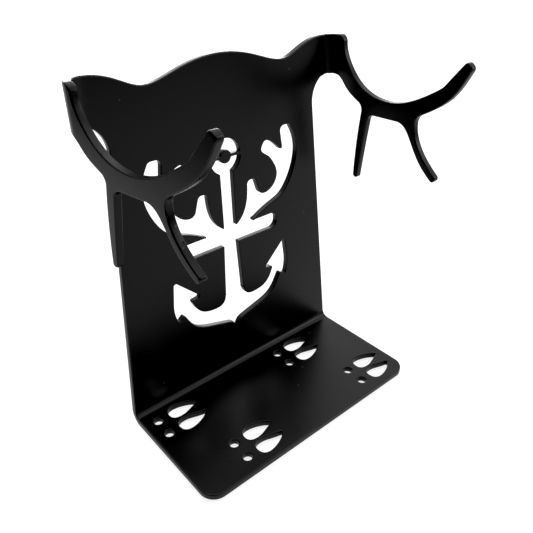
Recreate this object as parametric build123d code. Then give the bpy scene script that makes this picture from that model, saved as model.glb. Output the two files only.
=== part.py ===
from build123d import *
import os
from math import sin, cos, tan, radians

# A razor stand folded from one laser-cut steel sheet, on four stick-on rubber feet.
# Millimetres. +X is the stand's right, +Y its back, +Z up.

# ---- driving dimensions ------------------------------------------------------
SHEET = 2.7             # coated sheet thickness
WIDTH = 110.0           # base width
DEPTH = 52.85           # base, from its front edge to the back's front face
BASE_CORNER_R = 6.5
LEAN = 2.15             # degrees that the back leans backwards
SIDE_TAPER = 4.58       # degrees that each side of the back leans inwards
FOOT_BEND_R = 3.0       # inside radius of the bend between base and back

CREST = 138.6           # height of the back's hump and of its two shoulders
DIP = 132.8             # height of the two dips between them
DIP_X = 32.2
SHOULDER_X = 51.5

ARM_BEND_R = 5.0        # inside radius of the bend between back and arm
ARM_BEND_X = 51.1       # where that bend starts, at height ARM_LEVEL
ARM_LEVEL = 120.0
ARM_TOE_IN = 6.2        # degrees past square that the arms are folded
ARM_TILT = 0.8          # degrees that the arms' bend lines lean inwards
ARCH_TOP = 123.4        # underside of the arm where it leaves the back
ARCH_X = 54.5
ARCH_FOOT = 112.0       # where the arch meets the back's side edge
ARM_START = 1.0         # the arm's side view counts from here forwards
ARM_CORNER_X = 7.4      # front corner of the arm's level top

TRACK_PITCH = 65.0      # between the two tracks of a row
TRACK_SHIFT = 16.4      # how far the front row stands to the right of the rear row
ROW_GAP = 29.6
FIRST_TRACK = (-36.8, -12.0)
TOE_LENGTH = 13.6
TOE_WIDTH = 6.9
TOE_SPACING = 8.4
CLAW_D = 3.8
CLAW_BACK = 12.0        # from a toe's middle to its dew claw

RING_HEIGHT = 100.8     # the cut-out's anchor: heights are measured up the back
RING_D = 14.2
RING_DISC_D = 5.4
BRIDGE = 1.2
STOCK_HEIGHT = 66.9
STOCK_LENGTH = 49.2
STOCK_WIDTH = 6.8
STOCK_END_R = 3.2
SHANK_FOOT = 4.8        # half its width where it meets the anchor's arms
CROWN = 22.2            # lowest point of the anchor

FOOT_D = 8.0
FOOT_H = 1.2
FOOT_EDGE_R = 0.3
FOOT_PLACES = {
    "foot_rear_left": (-22.0, -8.2),
    "foot_rear_right": (46.0, -8.2),
    "foot_front_left": (-46.0, -46.0),
    "foot_front_right": (22.0, -46.0),
}

# ---- blanks and cutters, larger than what they shape ---------------------------
SPARE = 20.0            # how far a cutter reaches past the surface it cuts
BLANK_TOP = 150.0
BLANK_X = 75.0          # half the width of the widest blank
BAND_X = 30.0           # the arms' bands run from here outwards, between two heights
BAND_LOW = 70.0
BAND_HIGH = 150.0
BAND_REACH = 75.0
SHOULDER_CUT_X = 40.0   # beyond this, and above the height below, only the bands are kept
SHOULDER_CUT_Z = 106.0

# ---- planes of the folded back -----------------------------------------------
UP_BACK = (0, sin(radians(LEAN)), cos(radians(LEAN)))
FORWARD = (0, -cos(radians(LEAN)), sin(radians(LEAN)))
BACK = Plane(origin=(0, 0, 0), x_dir=(1, 0, 0), z_dir=FORWARD)   # x across, y up the back
SIDE = Plane(origin=(0, 0, 0), x_dir=FORWARD, z_dir=(-1, 0, 0))  # x forwards, y up the back


def both_sides(shape):
    return shape + mirror(shape, Plane.YZ)


def side_edge_x(height):
    return WIDTH / 2 - height * tan(radians(SIDE_TAPER))


def rounded(face, radius, corners):
    """Round the corners of a face that lie nearest to the given points."""
    picked = [face.vertices().sort_by_distance((x, y, 0))[0] for x, y in corners]
    return fillet(picked, radius)


# ---- base and back -----------------------------------------------------------
def folded_strip():
    """Base, bend and back, as wide as the base."""
    front_top = (BLANK_TOP * UP_BACK[1], BLANK_TOP * UP_BACK[2])
    back_top = (front_top[0] - SHEET * FORWARD[1], front_top[1] - SHEET * FORWARD[2])
    slope = tan(radians(LEAN))
    inner = (SHEET * slope, SHEET)
    outer = (SHEET / cos(radians(LEAN)), 0)
    section = make_face(Polyline(
        (-DEPTH, 0), outer, back_top, front_top, inner, (-DEPTH, SHEET), close=True))
    section = rounded(section, FOOT_BEND_R, [inner])
    section = rounded(section, FOOT_BEND_R + SHEET, [outer])
    return extrude(Plane.YZ * section, BLANK_X, both=True)


def back_outline():
    """Front view of the back with its shoulders, as flat as it was cut."""
    foot = (side_edge_x(-SPARE), -SPARE)
    arch_foot = (side_edge_x(ARCH_FOOT), ARCH_FOOT)
    edge = [
        Line((0, -SPARE), foot),
        Line(foot, arch_foot),
        Spline(arch_foot, (49.0, 121.0), (ARCH_X, ARCH_TOP),
               tangents=[(-tan(radians(SIDE_TAPER)), 1), (1, 0)]),
        Line((ARCH_X, ARCH_TOP), (BLANK_X, ARCH_TOP)),
        Line((BLANK_X, ARCH_TOP), (BLANK_X, CREST)),
        Line((BLANK_X, CREST), (SHOULDER_X, CREST)),
        Spline((SHOULDER_X, CREST), (DIP_X, DIP), (0, CREST), tangents=[(-1, 0), (-1, 0)]),
        Line((0, CREST), (0, -SPARE)),
    ]
    return both_sides(make_face(edge))


def base_outline():
    plate = Pos(0, -DEPTH / 2) * Rectangle(WIDTH, DEPTH)
    front = [(-WIDTH / 2, -DEPTH), (WIDTH / 2, -DEPTH)]
    return rounded(plate, BASE_CORNER_R, front) + Rectangle(WIDTH, 2 * SPARE)


# ---- arms --------------------------------------------------------------------
def arm_outline():
    """Side view of one arm: a cradle like an antler's beam, with two tines under it."""
    top_corner = (ARM_CORNER_X, CREST)
    cradle_start = (ARM_CORNER_X, 134.6)
    tip_top, tip_under = (66.9, 136.4), (69.4, 134.1)
    front_crotch, inner_crotch = (47.6, 114.3), (38.5, 110.6)
    front_tine_end = [(59.4, 93.7), (57.5, 91.6)]
    rear_crotch, rear_tine_root = (22.9, 110.2), (19.0, 113.0)
    rear_tine_end = [(17.5, 82.0), (14.9, 82.0)]
    arch_end = (ARM_START, ARCH_TOP)

    outline = make_face([
        Line((ARM_START, CREST), top_corner),
        Line(top_corner, cradle_start),
        Spline(cradle_start, (10.7, 127.4), (18.0, 120.6), (30.5, 117.1), (44.0, 119.4),
               (57.2, 126.1), tip_top, tangents=[(0.2, -1), (0.68, 0.73)]),
        Line(tip_top, tip_under),
        Spline(tip_under, (62.2, 123.5), (54.2, 117.8), front_crotch,
               tangents=[(-0.5, -0.85), (-0.9, -0.43)]),
        Spline(front_crotch, (47.3, 109.2), (50.7, 101.9), front_tine_end[0]),
        Line(*front_tine_end),
        Spline(front_tine_end[1], (50.4, 97.7), (45.1, 105.4), inner_crotch,
               tangents=[(-0.8, 0.6), (-1, 0.1)]),
        Line(inner_crotch, rear_crotch),
        Spline(rear_crotch, (20.4, 98.0), rear_tine_end[0]),
        Line(*rear_tine_end),
        Spline(rear_tine_end[1], (16.3, 97.0), rear_tine_root),
        Spline(rear_tine_root, (9.0, 118.6), arch_end, tangents=[(-0.85, 0.4), (-1, 0)]),
        Line(arch_end, (ARM_START, CREST)),
    ])
    outline = rounded(outline, 3.0, [top_corner, rear_crotch, rear_tine_root])
    outline = rounded(outline, 4.0, [front_crotch])
    outline = rounded(outline, 1.5, [tip_top, tip_under])
    return rounded(outline, 1.2, front_tine_end + rear_tine_end)


def bent_band():
    """Right end of the back with the arm's bend and the arm, before its outline is cut."""
    toe = radians(ARM_TOE_IN)
    tilt = radians(ARM_TILT)
    start_x = ARM_BEND_X + (ARM_LEVEL - BAND_LOW) * tan(tilt)
    centre = (start_x, -ARM_BEND_R)
    reach = (-BAND_REACH * sin(toe), -BAND_REACH * cos(toe))

    def bend_end(radius):
        return (start_x + radius * cos(toe), -ARM_BEND_R - radius * sin(toe))

    inner = bend_end(ARM_BEND_R)
    outer = bend_end(ARM_BEND_R + SHEET)
    inner_tip = (inner[0] + reach[0], inner[1] + reach[1])
    outer_tip = (outer[0] + reach[0], outer[1] + reach[1])
    turn = -(90 + ARM_TOE_IN)
    plan = make_face([
        Line((BAND_X, 0), (start_x, 0)),
        CenterArc(centre, ARM_BEND_R, 90, turn),
        Line(inner, inner_tip),
        Line(inner_tip, outer_tip),
        Line(outer_tip, outer),
        CenterArc(centre, ARM_BEND_R + SHEET, 90, turn),
        Line((start_x, SHEET), (BAND_X, SHEET)),
        Line((BAND_X, SHEET), (BAND_X, 0)),
    ])
    low_end = BACK.from_local_coords((0, BAND_LOW, 0))
    level = Plane(origin=low_end, x_dir=(1, 0, 0), z_dir=UP_BACK)
    along = Vector(-sin(tilt), 0, 0) + Vector(*UP_BACK) * cos(tilt)
    return extrude(level * plan, BAND_HIGH - BAND_LOW, dir=along)


def arm():
    """The band cut by the front view as far as ARM_START, and by the side view beyond it."""
    band = bent_band()
    front_view = BACK * back_outline()
    shoulder = extrude(front_view, ARM_START) + extrude(front_view, -SPARE)
    side_view = extrude(SIDE * arm_outline(), -BLANK_X)
    return (band & shoulder) + (band & side_view)


# ---- cut-outs ----------------------------------------------------------------
def ring():
    """The anchor's ring: a round hole whose centre disc hangs on two short bridges."""
    hole = Circle(RING_D / 2) - Circle(RING_DISC_D / 2) - Rectangle(2 * RING_D, BRIDGE)
    return Pos(0, RING_HEIGHT) * hole


def shank():
    right = [(0, 96.0), (3.0, 96.0), (3.0, 72.0), (3.6, 63.5), (SHANK_FOOT, 38.0),
             (SHANK_FOOT, 31.0), (0, 31.0)]
    return both_sides(make_face(Polyline(*right, close=True)))


def stock():
    return Pos(0, STOCK_HEIGHT) * RectangleRounded(STOCK_LENGTH, STOCK_WIDTH, STOCK_END_R)


def anchor_arm():
    """Right half of the anchor's foot: a curved arm with a barbed fluke."""
    root = (SHANK_FOOT, 40.5)
    fluke_root, inner_barb, tip = (21.8, 44.6), (17.0, 45.2), (29.0, 56.6)
    shoulder, barb, barb_root = (30.2, 46.0), (28.8, 37.4), (26.0, 39.8)
    face = make_face([
        Spline(root, (11.8, 36.0), fluke_root, tangents=[(0.1, -1), (0.35, 1)]),
        Polyline(fluke_root, inner_barb, tip, shoulder),
        ThreePointArc(shoulder, (30.0, 41.5), barb),
        Line(barb, barb_root),
        Spline(barb_root, (20.6, 31.9), (12.0, 28.3), (4.4, 26.2), (0, CROWN),
               tangents=[(-0.5, -0.85), (-0.35, -0.94)]),
        Line((0, CROWN), (0, root[1])),
        Line((0, root[1]), root),
    ])
    face = rounded(face, 0.7, [fluke_root, inner_barb, barb_root])
    return rounded(face, 0.9, [tip, barb])


def horn():
    """Right antler: a curved beam with a brow tine, an inner tine and a round tip."""
    root, beam_foot = (3.0, 71.0), (12.0, 70.5)
    brow_end = [(9.8, 88.4), (13.8, 88.4)]
    brow_foot = (15.6, 82.6)
    tine_end = [(17.2, 99.0), (19.4, 102.8)]
    fork = (29.2, 96.0)
    tip = [(27.7, 106.8), (32.8, 106.8)]
    face = make_face([
        Spline(root, (7.8, 76.2), (9.7, 84.0), brow_end[0]),
        Line(*brow_end),
        Line(brow_end[1], brow_foot),
        Spline(brow_foot, (19.4, 80.7), (25.6, 88.6), (22.0, 95.4), tine_end[0],
               tangents=[(0.4, -1), (-0.8, 0.6)]),
        Line(*tine_end),
        Spline(tine_end[1], (24.4, 100.6), fork, tangents=[(1, -0.1), (0.75, -0.66)]),
        Line(fork, tip[0]),
        Line(*tip),
        Spline(tip[1], (36.6, 94.5), (29.0, 78.5), beam_foot,
               tangents=[(0.6, -0.9), (-0.85, -0.5)]),
        Line(beam_foot, (beam_foot[0], STOCK_HEIGHT)),
        Line((beam_foot[0], STOCK_HEIGHT), (root[0], STOCK_HEIGHT)),
        Line((root[0], STOCK_HEIGHT), root),
    ])
    face = rounded(face, 1.8, brow_end)
    face = rounded(face, 0.8, [fork])
    return rounded(face, 2.0, tine_end + tip)


def anchor():
    halves = both_sides(anchor_arm() + horn())
    return extrude(BACK * (ring() + shank() + stock() + halves), SPARE, both=True)


def toe():
    """One toe of a hoof print, round behind and pointed in front, inner side straighter."""
    half = TOE_WIDTH / 2
    heel = (-TOE_LENGTH / 2, -0.3)
    point = (TOE_LENGTH / 2, -1.0)
    outside = Spline(heel, (-2.6, half), (3.4, 1.6), point, tangents=[(0, 1), (0.75, -0.66)])
    inside = Spline(point, (-2.8, -half), heel, tangents=[(-1, -0.2), (0, 1)])
    return rounded(make_face([outside, inside]), 0.5, [point])


def track():
    pair = Pos(0, TOE_SPACING / 2) * toe() + Pos(0, -TOE_SPACING / 2) * mirror(toe(), Plane.XZ)
    claws = [Pos(-CLAW_BACK, side * TOE_SPACING / 2) * Circle(CLAW_D / 2) for side in (1, -1)]
    return pair + claws


def tracks():
    x, y = FIRST_TRACK
    places = [(x + column * TRACK_PITCH + row * TRACK_SHIFT, y - row * ROW_GAP)
              for row in (0, 1) for column in (0, 1)]
    return [extrude(Pos(px, py) * track(), SPARE, both=True) for px, py in places]


# ---- the folded sheet --------------------------------------------------------
def plate():
    """Base and back without the shoulders, which belong to the arms' bands."""
    front_view = BACK * back_outline()
    front_cutter = extrude(front_view, BLANK_X) + extrude(front_view, -SPARE)
    side = BLANK_X - SHOULDER_CUT_X
    tall = BLANK_TOP - SHOULDER_CUT_Z
    shoulder = Pos(SHOULDER_CUT_X + side / 2, 0, SHOULDER_CUT_Z + tall / 2) * Box(
        side, 2 * SPARE, tall)
    base_cutter = extrude(base_outline(), BLANK_TOP)
    return (folded_strip() & front_cutter & base_cutter) - both_sides(shoulder)


sheet = plate() + both_sides(arm())
sheet = sheet - anchor() - tracks()

# the origin is under the middle of the whole stand, on the surface it rests on
extent = sheet.bounding_box()
middle = -(extent.min.Y + extent.max.Y) / 2
solids = {"folded_sheet": Pos(0, middle, FOOT_H) * sheet}

for name, (x, y) in FOOT_PLACES.items():
    pad = Cylinder(FOOT_D / 2, FOOT_H, align=(Align.CENTER, Align.CENTER, Align.MIN))
    solids[name] = Pos(x, y + middle, 0) * fillet(pad.edges().sort_by(Axis.Z)[0], FOOT_EDGE_R)

os.makedirs("parts", exist_ok=True)
for name, solid in solids.items():
    export_step(solid, f"parts/{name}.step")
    print(name, len(solid.solids()), round(solid.volume, 1), solid.bounding_box())
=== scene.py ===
from math import radians

import bpy
from mathutils import Matrix, Vector


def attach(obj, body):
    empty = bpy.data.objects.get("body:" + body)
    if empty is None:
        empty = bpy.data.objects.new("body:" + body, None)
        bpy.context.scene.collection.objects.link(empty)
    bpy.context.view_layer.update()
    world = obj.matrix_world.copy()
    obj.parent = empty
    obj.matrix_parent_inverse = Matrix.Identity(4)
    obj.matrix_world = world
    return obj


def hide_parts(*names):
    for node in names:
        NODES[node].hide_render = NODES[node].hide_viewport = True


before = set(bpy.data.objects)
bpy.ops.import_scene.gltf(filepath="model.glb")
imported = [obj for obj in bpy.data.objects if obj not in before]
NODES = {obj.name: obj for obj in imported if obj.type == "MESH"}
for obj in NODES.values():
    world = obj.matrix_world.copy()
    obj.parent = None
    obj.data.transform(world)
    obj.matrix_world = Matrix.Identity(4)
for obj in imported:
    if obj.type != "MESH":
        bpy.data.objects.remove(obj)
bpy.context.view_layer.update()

MM = 0.001
FEET = [name for name in NODES if name.startswith("foot_")]

# ---- view --------------------------------------------------------------------
CAMERA_PLACE = Vector((-122.6, -137.3, 179.83)) * MM
CAMERA_TURN = 40.08          # degrees to the right of straight ahead
CAMERA_DOWN = 31.36          # degrees below level
CAMERA_ROLL = -0.59          # degrees
CAMERA_LENS = 38.75          # mm, with a sensor of this width
SENSOR_WIDTH = 36

# ---- sheet -------------------------------------------------------------------
EDGE_ROUND = 0.50 * MM       # radius of the outer edges
HOLE_ROUND = 0.42 * MM       # radius of the edges of the cut-outs
EDGE_STEPS = 4
BACK_HOLES = ((-40, 20, 18), (40, 45, 116))       # mm: the boxes that hold the cut-outs
BASE_HOLES = ((-52, -33, 0), (52, 21, 6))
EDGE_ANGLE = 50              # degrees; the bends turn less than this between two faces
MERGE = 0.002 * MM           # points closer than this are one
FLAT_WEIGHT = 90             # how far the large flat faces rule the smooth shading

# ---- finishes ----------------------------------------------------------------
BLACK = (0.0010, 0.0010, 0.00105, 1)
BLACK_WORN = (0.0060, 0.0060, 0.0058, 1)
DUST = (0.09, 0.088, 0.083, 1)
COAT_SHINE = 0.20            # specular level of the powder coat
COAT_ROUGH = 0.235
FACE_WEAR = 0.15             # how much paler the high spots of a flat face are
EDGE_WEAR = 0.6
EDGE_POLISH = 0.04           # how much smoother the rounded edges are
PEEL_SIZE = 1.5 * MM         # width of the coat's shallow orange-peel waves
GRAIN_SIZE = 0.42 * MM
MOTTLE_SIZE = 26 * MM
MOTTLE_WEAR = 0.12
MOTTLE_ROUGH = 0.05
GRAIN_ROUGH = 0.10
PEEL_SHARE = 0.75            # of the bump; the grain makes the rest
COAT_DEPTH = 0.012 * MM
DUST_GAP = 8.5 * MM
SPECK_EDGE = (0.03, 0.05)    # where a speck begins to fade and is gone, in gaps
DUST_COVER = 0.5
RUBBER = (0.018, 0.018, 0.019, 1)
RUBBER_WORN = (0.035, 0.034, 0.033, 1)
RUBBER_SHINE = 0.3
RUBBER_GRAIN = 0.5 * MM
RUBBER_DEPTH = 0.03 * MM
RUBBER_ROUGH = 0.68
RUBBER_SPREAD = 0.18         # how much rougher the grain makes it

# ---- studio ------------------------------------------------------------------
FLOOR_SIDE = 8.0             # metres, as are the next two
FLOOR_LEFT = 0.29            # from the stand to the floor's left edge
FLOOR_FRONT = 0.85           # and to its front edge
FLOOR_PALE = (0.27, 0.27, 0.27, 1)
FLOOR_SHADE = (0.25, 0.25, 0.25, 1)
FLOOR_GLOW = 0.80            # the floor is a white sheet lit from below
FLOOR_CLOUD = 90 * MM
FLOOR_SHINE = 0.1
FLOOR_ROUGH = 0.85
FLOOR_SPREAD = 0.05
AIM = Vector((0, 0, 60)) * MM      # where the lamps point
ROOM_DARK = (0.03, 0.03, 0.031, 1)
ROOM_LIGHT = (1.0, 1.0, 1.0, 1)
ROOM_SIDE = (0.46, 0.36, 0.81)      # the direction that the room is brightest in
ROOM_EDGE = (-0.2, 0.85)     # facing it by this much, the room is dark and light
ROOM_STRENGTH = 1.3
CONTRAST = 0.94              # gamma of the view
BLACK_LEVEL = 0.007          # anything darker is shown fully black
LIGHTS = {                           # place, width and height in metres; watts
    "overhead": ((0.15, 0.20, 1.60), (2.2, 2.2), 26.0),
    "right_front": ((0.95, -0.95, 0.80), (0.9, 0.7), 8.0),
    "rear_right": ((0.75, 1.30, 0.42), (1.2, 0.5), 11.0),
}


# ---- shader maths ------------------------------------------------------------
class Value:
    """A shader value: adding to it or multiplying it makes the Math node."""

    def __init__(self, finish, socket):
        self.finish = finish
        self.socket = socket

    def maths(self, operation, left, right):
        return self.finish.node("ShaderNodeMath", {"operation": operation}, {0: left, 1: right})

    def __add__(self, other):
        return self.maths("ADD", self, other)

    def __mul__(self, other):
        return self.maths("MULTIPLY", self, other)

    __radd__ = __add__
    __rmul__ = __mul__


class Finish:
    """Nodes of one finish, made one at a time."""

    def __init__(self, tree):
        self.tree = tree

    def node(self, kind, settings, inputs, output=0):
        made = self.tree.nodes.new(kind)
        for name, setting in settings.items():
            setattr(made, name, setting)
        self.plug(made, inputs)
        return Value(self, made.outputs[output])

    def plug(self, made, inputs):
        for name, value in inputs.items():
            socket = made.inputs[name]
            if isinstance(name, str):
                socket = next(s for s in made.inputs if s.name == name and s.enabled)
            if isinstance(value, Value):
                self.tree.links.new(value.socket, socket)
            else:
                socket.default_value = value

    def place(self):
        return self.node("ShaderNodeTexCoord", {}, {}, "Object")

    def noise(self, place, size, detail=2.0):
        return self.node("ShaderNodeTexNoise", {},
                         {"Vector": place, "Scale": 1 / size, "Detail": detail})

    def ramp(self, value, low, high, start=0.0, end=1.0):
        return self.node("ShaderNodeMapRange", {"clamp": True},
                         {"Value": value, "From Min": low, "From Max": high,
                          "To Min": start, "To Max": end})

    def blend(self, factor, first, second):
        return self.node("ShaderNodeMix", {"data_type": "RGBA"},
                         {"Factor": factor, "A": first, "B": second}, 2)

    def bump(self, height, depth):
        return self.node("ShaderNodeBump", {}, {"Height": height, "Distance": depth,
                                                "Strength": 1.0})


def new_material(name, shine):
    """A material, its Finish and its Principled shader."""
    material = bpy.data.materials.new(name)
    material.use_nodes = True
    shader = material.node_tree.nodes["Principled BSDF"]
    shader.inputs["Specular IOR Level"].default_value = shine
    return material, Finish(material.node_tree), shader


def powder_coat(name, rough, wear):
    """Satin black powder coat; wear is how much paler its high spots are."""
    material, finish, shader = new_material(name, COAT_SHINE)
    place = finish.place()
    peel = finish.noise(place, PEEL_SIZE, 1.0)
    grain = finish.noise(place, GRAIN_SIZE, 2.0)
    mottle = finish.ramp(finish.noise(place, MOTTLE_SIZE, 3.0), 0.35, 0.65)
    speck = finish.node("ShaderNodeTexVoronoi", {}, {"Vector": place, "Scale": 1 / DUST_GAP})
    dust = finish.ramp(speck, *SPECK_EDGE, 1.0, 0.0)
    worn = finish.ramp(grain, 0.45, 0.75) * wear + mottle * MOTTLE_WEAR
    colour = finish.blend(worn, BLACK, BLACK_WORN)
    finish.plug(shader, {
        "Base Color": finish.blend(dust * DUST_COVER, colour, DUST),
        "Roughness": rough + MOTTLE_ROUGH * mottle + GRAIN_ROUGH * grain,
        "Normal": finish.bump(peel * PEEL_SHARE + grain * (1 - PEEL_SHARE), COAT_DEPTH),
    })
    return material


def pad_rubber():
    material, finish, shader = new_material("pad rubber", RUBBER_SHINE)
    place = finish.place()
    grain = finish.noise(place, RUBBER_GRAIN, 3.0)
    scuff = finish.ramp(finish.noise(place, 5 * RUBBER_GRAIN, 4.0), 0.45, 0.7)
    finish.plug(shader, {
        "Base Color": finish.blend(scuff, RUBBER, RUBBER_WORN),
        "Roughness": RUBBER_ROUGH + RUBBER_SPREAD * grain,
        "Normal": finish.bump(grain, RUBBER_DEPTH),
    })
    return material


def pale_floor():
    material, finish, shader = new_material("pale floor", FLOOR_SHINE)
    shader.inputs["Emission Color"].default_value = (1, 1, 1, 1)
    shader.inputs["Emission Strength"].default_value = FLOOR_GLOW
    cloud = finish.noise(finish.place(), FLOOR_CLOUD, 2.0)
    finish.plug(shader, {
        "Base Color": finish.blend(cloud, FLOOR_PALE, FLOOR_SHADE),
        "Roughness": FLOOR_ROUGH + FLOOR_SPREAD * cloud,
    })
    return material


# ---- the stand ---------------------------------------------------------------
def select_only(piece):
    bpy.ops.object.select_all(action="DESELECT")
    piece.select_set(True)
    bpy.context.view_layer.objects.active = piece


def merged_copy(node_name, piece_name):
    """A new piece with the mesh of a CAD node, its doubles merged."""
    piece = bpy.data.objects.new(piece_name, NODES[node_name].data.copy())
    bpy.context.scene.collection.objects.link(piece)
    piece.data.materials.clear()
    select_only(piece)
    bpy.ops.object.mode_set(mode="EDIT")
    bpy.ops.mesh.select_all(action="SELECT")
    bpy.ops.mesh.remove_doubles(threshold=MERGE)
    bpy.ops.mesh.select_all(action="DESELECT")
    bpy.ops.object.mode_set(mode="OBJECT")
    return piece


def in_box(point, box):
    return all(low * MM < p < high * MM for p, low, high in zip(point, *box))


def share_rounding(piece):
    """Give each sharp edge its share of the widest rounding."""
    bpy.ops.object.mode_set(mode="EDIT")
    bpy.ops.mesh.select_mode(type="EDGE")
    bpy.ops.mesh.edges_select_sharp(sharpness=radians(EDGE_ANGLE))
    bpy.ops.object.mode_set(mode="OBJECT")
    mesh = piece.data
    share = mesh.attributes.new("bevel_weight_edge", "FLOAT", "EDGE")
    for edge in mesh.edges:
        if edge.select:
            first, second = [mesh.vertices[point].co for point in edge.vertices]
            middle = (first + second) / 2
            hole = in_box(middle, BACK_HOLES) or in_box(middle, BASE_HOLES)
            share.data[edge.index].value = HOLE_ROUND / EDGE_ROUND if hole else 1.0


def coated_sheet():
    """The folded sheet with the soft edges that its coat gives it."""
    sheet = merged_copy("folded_sheet", "coated_sheet")
    sheet.data.materials.append(powder_coat("powder coat", COAT_ROUGH, FACE_WEAR))
    sheet.data.materials.append(
        powder_coat("powder coat on edges", COAT_ROUGH - EDGE_POLISH, EDGE_WEAR))
    share_rounding(sheet)
    edge = sheet.modifiers.new("soft edge", "BEVEL")
    edge.width = EDGE_ROUND
    edge.segments = EDGE_STEPS
    edge.limit_method = "WEIGHT"
    edge.use_clamp_overlap = False
    edge.loop_slide = False
    edge.material = 1
    shading = sheet.modifiers.new("flat faces", "WEIGHTED_NORMAL")
    shading.weight = FLAT_WEIGHT
    select_only(sheet)
    bpy.ops.object.shade_smooth()
    for modifier in [edge.name, shading.name]:
        bpy.ops.object.modifier_apply(modifier=modifier)
    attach(sheet, "root")
    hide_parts("folded_sheet")


def feet():
    rubber = pad_rubber()
    for name in FEET:
        NODES[name].material_slots[0].material = rubber


# ---- the studio --------------------------------------------------------------
def floor():
    half = FLOOR_SIDE / 2
    middle = (half - FLOOR_LEFT, half - FLOOR_FRONT, 0)
    bpy.ops.mesh.primitive_plane_add(size=FLOOR_SIDE, location=middle)
    ground = bpy.context.object
    ground.name = "floor"
    ground.data.materials.append(pale_floor())


def lights():
    for name, (place, (wide, high), watts) in LIGHTS.items():
        bpy.ops.object.light_add(type="AREA", location=place)
        lamp = bpy.context.object
        lamp.name = name
        lamp.data.shape = "RECTANGLE"
        lamp.data.size = wide
        lamp.data.size_y = high
        lamp.data.energy = watts
        lamp.rotation_euler = (AIM - Vector(place)).to_track_quat("-Z", "Y").to_euler()
        lamp.visible_camera = False


def room():
    """A plain room, light on one side and dark on the other."""
    world = bpy.data.worlds.new("studio")
    bpy.context.scene.world = world
    world.use_nodes = True
    finish = Finish(world.node_tree)
    way = finish.node("ShaderNodeTexCoord", {}, {}, "Generated")
    facing = finish.node("ShaderNodeVectorMath", {"operation": "DOT_PRODUCT"},
                         {0: way, 1: ROOM_SIDE}, "Value")
    colour = finish.blend(finish.ramp(facing, *ROOM_EDGE), ROOM_DARK, ROOM_LIGHT)
    seen = finish.node("ShaderNodeLightPath", {}, {}, "Is Camera Ray")
    finish.plug(world.node_tree.nodes["Background"],
                {"Color": finish.blend(seen, colour, ROOM_LIGHT), "Strength": ROOM_STRENGTH})
    view = bpy.context.scene.view_settings
    view.view_transform = "Standard"
    view.gamma = CONTRAST
    view.use_curve_mapping = True
    view.curve_mapping.black_level = (BLACK_LEVEL, BLACK_LEVEL, BLACK_LEVEL)
    view.curve_mapping.update()


def camera():
    bpy.ops.object.camera_add()
    eye = bpy.context.object
    eye.name = "camera"
    eye.data.lens = CAMERA_LENS
    eye.data.sensor_width = SENSOR_WIDTH
    eye.matrix_world = (Matrix.Translation(CAMERA_PLACE)
                        @ Matrix.Rotation(radians(-CAMERA_TURN), 4, "Z")
                        @ Matrix.Rotation(radians(90 - CAMERA_DOWN), 4, "X")
                        @ Matrix.Rotation(radians(CAMERA_ROLL), 4, "Z"))
    bpy.context.scene.camera = eye


camera()
coated_sheet()
feet()
floor()
lights()
room()
